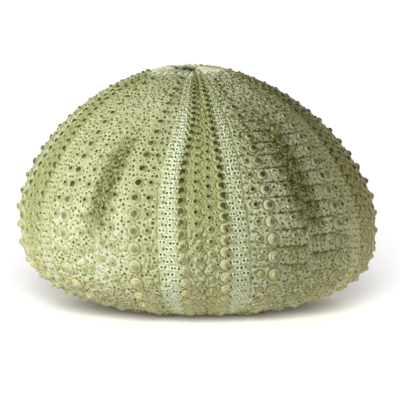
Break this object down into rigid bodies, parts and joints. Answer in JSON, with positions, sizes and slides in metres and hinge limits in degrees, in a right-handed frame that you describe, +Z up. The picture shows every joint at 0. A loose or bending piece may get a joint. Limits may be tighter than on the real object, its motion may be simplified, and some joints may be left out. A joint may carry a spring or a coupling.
{
  "type": "sea urchin shell",
  "caption": "Hollow dried sea urchin shell, domed and pale green, with rows of knobs and bands of pores, open at the top and at the mouth below, standing on its flat base.",
  "frame": {"origin": "middle of the overall box at its lowest level, on the surface the shell stands on", "axes": "+Z up through the top hole; -Y towards the viewer of the picture, where one narrow pored zone runs up the middle; +X to that viewer's right"},
  "size_m": [0.066, 0.0652, 0.044],
  "materials": {
    "dry_lime": "matte"
  },
  "bodies": {
    "root": {"urchin_shell": "dry_lime"}
  },
  "joints": []
}
